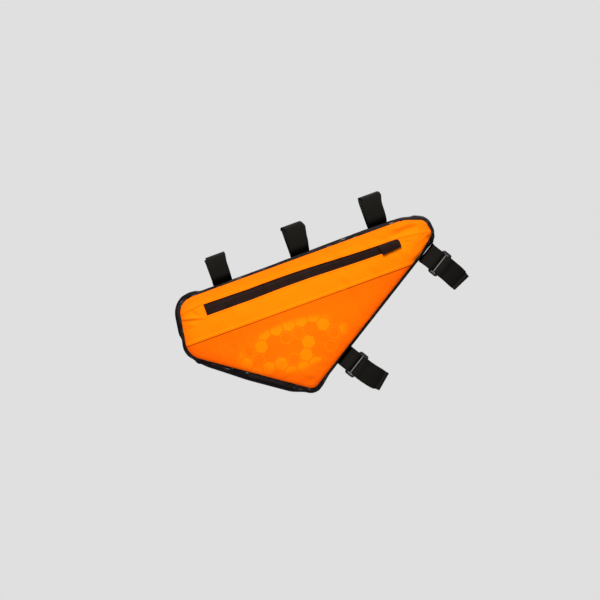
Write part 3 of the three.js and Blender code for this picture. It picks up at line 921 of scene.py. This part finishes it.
def zip_strip(name, low, high, depth):
    """The stretch of the skin between two lines along the zip, moved inwards by a depth."""
    sheet = copy_of(right_skin, name)
    straighten(sheet)
    cut_above(sheet, high)
    cut_below(sheet, low)
    straighten(sheet, -1)
    cut_away(sheet, ZIP_REAR - ZIP_TUCK, 0, -1, 0)
    cut_away(sheet, ZIP_FRONT + ZIP_TUCK, 0, 1, 0)
    offset(sheet, -depth)
    return sheet


def shifted(line, distance):
    return lambda u: line(u) + distance


TAPES = [
    ("zip_tape_upper", shifted(zip_middle, ZIP_PARTING), shifted(zip_top, ZIP_TUCK)),
    ("zip_tape_lower", shifted(zip_bottom, -ZIP_TUCK), shifted(zip_middle, -ZIP_PARTING)),
]
for node, low, high in TAPES:
    tape = zip_strip(node + "_film", low, high, TAPE_DEPTH)
    thicken(tape, TAPE_THICKNESS)
    shade(tape)
    finish_piece(tape, film, node, slot="zip_tape")

coil_low, coil_high = shifted(zip_middle, -ZIP_COIL_HALF), shifted(zip_middle, ZIP_COIL_HALF)
coil = zip_strip("zip_coil_strip", coil_low, coil_high, COIL_DEPTH)
thicken(coil, COIL_THICKNESS)
shade(coil)
finish_piece(coil, plastic, "zip_coil", slot="zip_coil")


def onto_skin(piece):
    """Bends a piece that was made round y = 0 on to the right-hand panel."""
    for vertex in piece.data.vertices:
        vertex.co.y += depth_at(surface, vertex.co.x / MM, vertex.co.z / MM) * MM


def block(name, low, high):
    """A box between two corners, in millimetres."""
    piece = added(name, "cube", size=1)
    for vertex in piece.data.vertices:
        vertex.co = Vector(mix(low[i], high[i], vertex.co[i] + 0.5) * MM for i in range(3))
    return piece


garage_rear = ZIP_FRONT - GARAGE_LENGTH
garage_centre = ZIP_FRONT - GARAGE_LENGTH / 2
garage_middle = zip_middle(garage_centre) + zip_shift(garage_centre)
garage_low = garage_middle - GARAGE_WIDTH / 2
garage_high = garage_middle + GARAGE_WIDTH / 2


def front_corner(a, b):
    """True for an edge that stands out from the panel at the garage's front."""
    return abs(a.y - b.y) > 1 and a.x > ZIP_FRONT - 1


garage_corners = (garage_rear, -GARAGE_HEIGHT, garage_low), (ZIP_FRONT, -STAND_OFF, garage_high)
garage = block("garage_hood", *garage_corners)
round_edges(garage, lambda a, b: front_corner(a, b) and a.z > garage_middle, GARAGE_ROUND, 8)
round_edges(garage, lambda a, b: front_corner(a, b) and a.z < garage_middle, GARAGE_LOW_ROUND, 3)
for vertex in garage.data.vertices:
    u, v = vertex.co.x / MM, vertex.co.z / MM
    if v < garage_low + 0.1:
        vertex.co.z -= GARAGE_LIP * (ZIP_FRONT - u) / GARAGE_LENGTH * MM
    if u < garage_rear + 0.1:
        vertex.co.x -= GARAGE_SLANT * (v - garage_middle) * MM
select_parts(garage, "FACE", lambda face: face.normal.x < -0.9)
bpy.ops.mesh.inset(thickness=GARAGE_WALL * MM)
reach = GARAGE_LENGTH - GARAGE_FRONT_WALL
bpy.ops.mesh.extrude_region_move(TRANSFORM_OT_translate={"value": (reach * MM, 0, 0)})
object_mode()
for vertex in garage.data.vertices:
    if vertex.select and vertex.co.z / MM < garage_middle:
        vertex.co.z += GARAGE_LIP * reach / GARAGE_LENGTH * MM
soften(garage, 0.6, 3, 40)
for step in range(1, 6):
    score(garage, garage_rear + step * 4 + 0.7, 0, 1, 0)
onto_skin(garage)
face_out(garage)
shade(garage)
finish_piece(garage, film, "zip_garage", slot="zip_tape")

slider = block(
    "slider_body",
    (SLIDER_FRONT - SLIDER_LENGTH, -SLIDER_HEIGHT, garage_middle - SLIDER_HALF),
    (SLIDER_FRONT, -STAND_OFF, garage_middle + SLIDER_HALF),
)
soften(slider, 0.7, 3, 30)
pull = block(
    "slider_pull",
    (PULL_REAR, -PULL_OUT[0], garage_middle - PULL_BELOW[0]),
    (PULL_REAR + PULL_LENGTH, -PULL_OUT[1], garage_middle - PULL_BELOW[1]),
)
round_edges(pull, lambda a, b: abs(a.y - b.y) > 0.5 and a.x < PULL_REAR + 1, 1.2, 4)
soften(pull, 0.25, 2, 40)
slider = join([slider, pull], "slider_and_pull")
onto_skin(slider)
shade(slider)
finish_piece(slider, plastic, "zip_slider", slot="plastic")

# Gusset


def top_ridge(point, out, across):
    """Along the top edge the gusset stands up on both sides of its middle, more so towards the front."""
    if out.y < 0.97:
        return 0.0
    height = RIDGE_HEIGHT * smooth(point.x, -130, 110) * (1 - smooth(point.x, 118, 136))
    return height * smooth(across, 0.66, 0.82) * (1 - smooth(across, 0.86, 1.0))


def gusset_band():
    rows = bag_outline(3.6, 8)
    count = len(rows)
    band = added("gusset_fabric", "grid", x_subdivisions=count, y_subdivisions=18, size=1)
    for vertex in band.data.vertices:
        index = round((vertex.co.x + 0.5) * count) % count
        across = -2 * vertex.co.y
        point, out, swell = rows[index]
        rise = (1 - min(abs(across), 1) ** GUSSET_POWER) ** (1 / GUSSET_POWER)
        height = swell * rise + top_ridge(point, out, abs(across)) + end_of_lap(point, out) * rise
        place = point + out * height
        vertex.co = Vector((place.x, across * HALF_DEPTH, place.y)) * MM
    edit_all(band)
    bpy.ops.mesh.remove_doubles(threshold=0.02 * MM)
    bpy.ops.mesh.normals_make_consistent(inside=False)
    object_mode()
    return band


def end_of_lap(point, out):
    """The bottom stretch of the gusset is lapped over the rear one, and its end stands off a little."""
    start, along, _, length = edge_of(BOTTOM_EDGE)
    from_end = length - (point - start).dot(along)
    height = LAP_HEIGHT * smooth(from_end, 11, 15.5) * (1 - smooth(from_end, 24, 76))
    return height if out.y < -0.6 and out.x < 0.2 else 0.0


def is_seated(out):
    """True where the gusset is held flat, along the top and front edges."""
    return out.y > 0.97 or (out.x > 0.4 and out.y < -0.7)


band = gusset_band()
resting = [vertex.co.copy() for vertex in band.data.vertices]
pins = []
for vertex in band.data.vertices:
    if abs(vertex.co.y / MM) > 0.99 * HALF_DEPTH:
        pins.append((vertex.index, 1.0))
    elif is_seated(Vector((vertex.normal.x, vertex.normal.z))):
        pins.append((vertex.index, 0.8))
billow(band, pins, pressure=2.5, spare=0.035, frames=24, stiffness=12.0, bending=0.12)
for vertex, rest in zip(band.data.vertices, resting):
    seated = is_seated(Vector((vertex.normal.x, vertex.normal.z)))
    limit = (SEATED_MOVE if seated else GUSSET_MOVE) * MM
    move = vertex.co - rest
    if move.length > limit:
        vertex.co = rest + move * (limit / move.length)
add_modifier(band, "SUBSURF", levels=1, render_levels=1)
thicken(band, WALL)
shade(band, 50)
finish_piece(band, gusset_cloth, "gusset", slot="black_fabric")

# Straps


def edge_place(edge_index, distance):
    """Places points given outwards from the seam, across the bag and along an edge, in millimetres."""
    start, along, out, _ = edge_of(edge_index)

    def place(outwards, across, sideways):
        spot = start + along * (distance + sideways) + out * outwards
        return Vector((spot.x, across, spot.y)) * MM

    return place


def loop_round(swell, inner_radius, slack):
    """A strap's centre line by degrees: 0 is away from the bag, 90 the right-hand side, 180 the gusset."""
    radius = inner_radius + CLEARANCE + STRAP_THICKNESS / 2
    middle = swell + STRAP_THICKNESS + 2 * CLEARANCE + inner_radius

    def at(degrees, lift=0.0):
        cos, sin = cos_sin(degrees)
        power = 3.2 if cos < 0 else 2.5
        reach = radius + lift + (slack if cos > 0 else SEWN)
        squared = [math.copysign(abs(x) ** (2 / power), x) for x in (cos, sin)]
        return Vector((middle + reach * squared[0], -(radius + lift) * squared[1]))

    return at


def strip(name, line, place, with_bend_highlight=False):
    """A band of webbing along rows of point, sideways shift, width and skew.

    The skew pulls one side of the band outwards.
    """
    lengths = [0.0]
    for a, b in zip(line, line[1:]):
        lengths.append(lengths[-1] + (b[0] - a[0]).length)
    columns = max(24, round(lengths[-1] / 1.5))
    band = added(name, "grid", x_subdivisions=columns, y_subdivisions=8, size=1, calc_uvs=True)
    crease = band.data.attributes.new("crease", "FLOAT", "POINT")
    outermost = max(row[0].x for row in line)
    for vertex in band.data.vertices:
        along = (vertex.co.x + 0.5) * lengths[-1]
        i = min(max(sum(1 for x in lengths if x <= along) - 1, 0), len(line) - 2)
        t = clamp((along - lengths[i]) / max(lengths[i + 1] - lengths[i], 1e-6))
        at = line[i][0].lerp(line[i + 1][0], t)
        shift, width, skew = (mix(line[i][k], line[i + 1][k], t) for k in (1, 2, 3))
        # Weight for the painted highlight of the bend, near the far side of the loop
        if with_bend_highlight and at.y < 0:
            crease.data[vertex.index].value = 1 - smooth(abs(outermost - BEND_HIGHLIGHT_PLACE - at.x), 0.2, 1.6)
        vertex.co = place(at.x + skew * vertex.co.y * 2, at.y, vertex.co.y * width + shift)
    add_modifier(band, "SOLIDIFY", thickness=WEBBING_THICKNESS * MM, offset=0.0)
    face_out(band)
    soften(band, 0.5, 2, 50)
    shade(band)
    return band


def turn_steps(start, end, step):
    count = math.ceil(abs(end - start) / step)
    return [mix(start, end, i / count) for i in range(count + 1)]


# Place in pitches, radius inside the loop, and slack on its far side
TOP_STRAPS = [("rear", -1, 15.0, 0.35), ("middle", 0, 16.0, 1.87), ("front", 1, 17.0, 1.76)]
# Sideways shift by degrees round each loop
TOP_SHIFTS = {
    "rear": [(-392, 2.6), (-360, 2.2), (-318, 2.8), (-285, 1.4), (-200, 0), (0, 0), (55, 0.6), (95, 0.6)],
    "middle": [(-392, -0.5), (-360, 0.6), (-330, 3.6), (-305, 6.0), (-280, 4.2), (-250, 1.5)]
    + [(-200, 0), (0, 0.6), (95, 2.0)],
    "front": [(-392, 1.0), (-360, 1.0), (-335, 4.2), (-315, 5.0), (-285, 2.4)]
    + [(-200, 0), (0, 0.6), (55, -0.5), (95, 0.5)],
}
for name, pitches, inner_radius, slack in TOP_STRAPS:
    loop = loop_round(OUTLINE_TABLE[TOP_EDGE][5], inner_radius, slack)
    line = []
    for degrees in turn_steps(TOP_STRAP_START, TOP_STRAP_END, LOOP_STEP):
        point = loop(degrees, LAYER * smooth(-degrees, *TOP_STRAP_LIFT))
        line.append((point, along_table(TOP_SHIFTS[name], degrees), STRAP_WIDTH, 0.0))
    strap = strip("strap_top_" + name, line, edge_place(TOP_EDGE, REAR_REACH + pitches * STRAP_PITCH))
    finish_piece(strap, tape_cloth, "top_strap_" + name, slot="webbing")


def hairpin(bar, toward):
    """Half a turn of webbing round a bar, from the loop's inner side outwards, bulging towards 1 or -1."""
    rows = []
    for degrees in turn_steps(-90, 90, 12):
        cos, sin = cos_sin(degrees)
        at = Vector((bar.x + toward * HAIRPIN_RADIUS * cos, bar.y - HAIRPIN_RADIUS * sin))
        rows.append((at, 0.0, DOWN_STRAP_WIDTH, 0.0))
    return rows


def levelled(at, bar, side):
    """Webbing comes level with the hairpin near its bar, on the loop's inner side at 1 and outside at -1."""
    near = smooth(RING_BAR + HAIRPIN_RUN - abs(at.x - bar.x), 0, HAIRPIN_RUN)
    return Vector((at.x, mix(at.y, bar.y + side * HAIRPIN_RADIUS, near)))


def swell_under(edge_index, distance):
    """How far the gusset stands out from the edge's line under a strap."""
    start, along, out, _ = edge_of(edge_index)
    under = []
    for point, _, swell in OUTLINE:
        away = point - start
        if away.dot(out) > -4 and abs(away.dot(along) - distance) < STRAP_WIDTH / 2:
            under.append(away.dot(out) + swell)
    return max(under)


def round_rectangle(turn, half_x, half_y, radius):
    """Point and outward direction at a share of the way round a rounded rectangle."""
    arc = math.pi / 2 * radius
    up, across = 2 * (half_y - radius), 2 * (half_x - radius)
    runs = [up / 2, arc, across, arc, up, arc, across, arc, up / 2]
    left = turn * sum(runs)
    point, way = Vector((half_x, 0)), 90
    for i, run in enumerate(runs):
        step = min(left, run)
        out = Vector(cos_sin(way - 90))
        if i % 2:
            way += 90 * step / arc
            turned = Vector(cos_sin(way - 90))
            point, out = point + (turned - out) * radius, turned
        else:
            point = point + Vector(cos_sin(way)) * step
        left -= step
        if left < 1e-9:
            break
    return point, out


# Distance from the tip along the front edge, the ring's place as a share of the loop's width, the sideways
# shift and skew where the strap turns round the far side, and the shift of its left-hand stretch
DOWN_STRAPS = [("upper", 227.85, 0.548, 1.6, -1.8, -1.7), ("lower", 58.84, 0.472, -3.9, 1.9, 0.0)]
for name, from_tip, ring_share, turn_shift, turn_skew, left_shift in DOWN_STRAPS:
    distance = edge_of(FRONT_EDGE)[3] - from_tip
    place = edge_place(FRONT_EDGE, distance)
    radius = DOWN_LOOP / 2
    loop = loop_round(swell_under(FRONT_EDGE, distance), radius, DOWN_STRAP_SLACK)
    ring_depth = -(radius + 2 * CLEARANCE + STRAP_THICKNESS + RING_BAR / 2)
    ring_centre = ring_share * DOWN_LOOP
    bar_offset = (RING_WIDTH - RING_BAR) / 2
    near_bar = Vector((ring_centre - bar_offset, ring_depth))
    far_bar = Vector((ring_centre + bar_offset, ring_depth))

    def row(p, degrees):
        drift = smooth(90 - abs(degrees), 0, 80)
        left = smooth(-degrees, 20, 80)
        width = mix(DOWN_STRAP_TURN_WIDTH, DOWN_STRAP_WIDTH, smooth(abs(degrees), 22, 60))
        return p, drift * turn_shift + left * left_shift, width, drift * turn_skew

    def under(start, end, keep, bar):
        rows = []
        for degrees in turn_steps(start, end, LOOP_STEP):
            p = loop(degrees)
            if p.y > ring_depth / 2:
                rows.append(row(p, degrees))
            elif keep(p):
                rows.append(row(levelled(p, bar, 1), degrees))
        return rows

    def over(start, end, keep, bar):
        rows = [(loop(degrees, LAYER), degrees) for degrees in turn_steps(start, end, LOOP_STEP)]
        return [row(levelled(p, bar, -1), degrees) for p, degrees in rows if keep(p)]

    def before_ring(p):
        return p.x < near_bar.x - RING_BAR

    def past_ring(p):
        return p.x > far_bar.x + RING_BAR

    tab_line = under(TAB_START, 90, before_ring, near_bar) + hairpin(near_bar, 1)
    tab_line += over(90, TAB_END, before_ring, near_bar)
    strap_line = under(DOWN_STRAP_START, 90, past_ring, far_bar) + hairpin(far_bar, -1)
    strap_line += over(90, DOWN_STRAP_END, past_ring, far_bar)
    tab = strip("tab_" + name, tab_line, place)
    finish_piece(tab, tape_cloth, f"down_strap_{name}_tab", slot="webbing")
    strap = strip("strap_down_" + name, strap_line, place, with_bend_highlight=True)
    finish_piece(strap, tape_cloth, f"down_strap_{name}", slot="webbing")

    thin = 0.25
    fineness = {"major_segments": 72, "minor_segments": 16}
    ring = added("ring_" + name, "torus", major_radius=1, minor_radius=thin, **fineness)
    half_along = DOWN_STRAP_WIDTH / 2 + RING_SIDE_ROOM + RING_END_BAR / 2
    for vertex in ring.data.vertices:
        x, y, z = vertex.co
        away = (math.hypot(x, y) - 1) / thin
        point, out = round_rectangle(math.atan2(y, x) / math.tau % 1, bar_offset, half_along, RING_ROUND)
        point = point + out * away * mix(RING_BAR, RING_END_BAR, out.y**2) / 2
        vertex.co = place(ring_centre + point.x, ring_depth + z / thin * RING_BAR / 2, point.y)
    middle_size = {"radius": RING_MIDDLE_BAR / 2, "depth": 2 * half_along}
    middle_bar = added("bar_" + name, "cylinder", vertices=24, **middle_size)
    for end in (-1, 1):
        edit_all(middle_bar)
        bpy.ops.mesh.bisect(plane_co=(0, 0, end * (half_along - HIGHLIGHT_END_MARGIN)), plane_no=(0, 0, 1))
        object_mode()
    # Weight for the painted highlight along the middle bar, fading out at its ends
    bare = middle_bar.data.attributes.new("bare", "FLOAT", "POINT")
    for vertex in middle_bar.data.vertices:
        x, y, z = vertex.co
        vertex.co = place(ring_centre + x, ring_depth - RING_BAR / 4 + y, z)
        bare.data[vertex.index].value = 1 if abs(z) < half_along - HIGHLIGHT_END_MARGIN / 2 else 0
    ring = join([ring, middle_bar], "ring_" + name)
    face_out(ring)
    shade(ring, 60)
    finish_piece(ring, plastic, f"down_strap_{name}_ring", slot="plastic")

# Stitching

panels = BVHTree.FromPolygons(seen_corners, seen_faces)


def stitch_rows(name, rows, material, slot):
    """Short threads along rows of points on the right-hand panels, half sunk into the fabric."""
    stitches = []
    for row in rows:
        for start, end in zip(row, row[1:]):
            start, end = Vector(start), Vector(end)
            count = max(1, round((end - start).length / STITCH_PITCH))
            for k in range(count):
                middle = start.lerp(end, (k + 0.5) / count)
                stitches.append((middle, math.atan2(end.y - start.y, end.x - start.x)))
    threads = added(name, "uv_sphere", segments=8, ring_count=5, radius=1)
    corners = [vertex.co.copy() for vertex in threads.data.vertices]
    add_modifier(threads, "ARRAY", count=len(stitches), use_relative_offset=False, use_constant_offset=True)
    for i, (middle, angle) in enumerate(stitches):
        depth = depth_at(panels, middle.x, middle.y) - STITCH_RISE
        cos, sin = math.cos(angle), math.sin(angle)
        for j, corner in enumerate(corners):
            along, up = corner.x * STITCH_LENGTH / 2, corner.z * STITCH_RADIUS
            u, v = middle.x + along * cos - up * sin, middle.y + along * sin + up * cos
            vertex = threads.data.vertices[i * len(corners) + j]
            vertex.co = Vector((u, depth + corner.y * STITCH_RADIUS, v)) * MM
    shade(threads, 80)
    finish_piece(threads, material, slot=slot)


def row_beside(line, start, end, gap, count):
    """Places along one of the zip's edges, or its seam past the zip, at a gap above it."""
    places = [mix(start, end, i / count) for i in range(count + 1)]
    return [(u, line(u) + zip_shift(u) + gap) for u in places]


zip_rear_row = ZIP_REAR - ZIP_STITCH_GAP
panel_rows = [
    row_beside(zip_top, ZIP_REAR - 2, ZIP_FRONT - 4, ZIP_STITCH_GAP, 12),
    row_beside(zip_bottom, ZIP_REAR - 2, garage_rear - 1, -ZIP_STITCH_GAP, 12),
    [(zip_rear_row, zip_top(ZIP_REAR)), (zip_rear_row, zip_bottom(ZIP_REAR))],
    row_beside(zip_top, ZIP_FRONT - 4, 164, SEAM_STITCH_GAP, 4),
    row_beside(zip_top, -167, ZIP_REAR - 3, SEAM_STITCH_GAP, 4),
    [(-172, LOWER_SEAM_V + 2), (128, LOWER_SEAM_V + 2)],
]
stitch_rows("panel_stitches", panel_rows, orange_thread, "orange_fabric")

bpy.data.objects.remove(right_skin)

# Floor, light and camera

floor = added("floor", "circle", vertices=96, radius=1.3, fill_type="NGON", location=(0, 0, -0.62))
floor.data.materials.append(pale_floor())

world = bpy.data.worlds.new("studio")
bpy.context.scene.world = world
world.use_nodes = True
nodes, links = world.node_tree.nodes, world.node_tree.links
backdrop = nodes["Background"]
backdrop.inputs["Color"].default_value = (0.745, 0.745, 0.745, 1)
surround = nodes.new("ShaderNodeBackground")
surround.inputs["Color"].default_value = (0.34, 0.34, 0.35, 1)
either = nodes.new("ShaderNodeMixShader")
links.new(nodes.new("ShaderNodeLightPath").outputs["Is Camera Ray"], either.inputs[0])
links.new(surround.outputs[0], either.inputs[1])
links.new(backdrop.outputs[0], either.inputs[2])
links.new(either.outputs[0], nodes["World Output"].inputs["Surface"])


def soft_light(name, at, aim, size, power):
    bpy.ops.object.select_all(action="DESELECT")
    bpy.ops.object.light_add(type="AREA", location=at)
    light = bpy.context.object
    light.name = name
    light.data.shape = "DISK"
    light.data.size = size
    light.data.energy = power
    light.rotation_euler = (Vector(aim) - Vector(at)).to_track_quat("-Z", "Y").to_euler()


soft_light("key", (-0.3, -1.7, 1.9), (0, 0, -0.05), 1.4, 100)
soft_light("back fill", (0.4, 1.9, 1.6), (0, 0, -0.05), 1.4, 80)

camera_distance = 5.0
view_width = 0.78
camera_data = bpy.data.cameras.new("photograph")
camera_data.sensor_width = 36
camera_data.lens = camera_data.sensor_width * camera_distance / view_width
camera_data.clip_end = 50
camera = bpy.data.objects.new("photograph", camera_data)
bpy.context.collection.objects.link(camera)
camera.location = (0.0061, -camera_distance, -0.0767)
camera.rotation_euler = (math.radians(90), 0, 0)
bpy.context.scene.camera = camera
bpy.context.scene.view_settings.view_transform = "Standard"
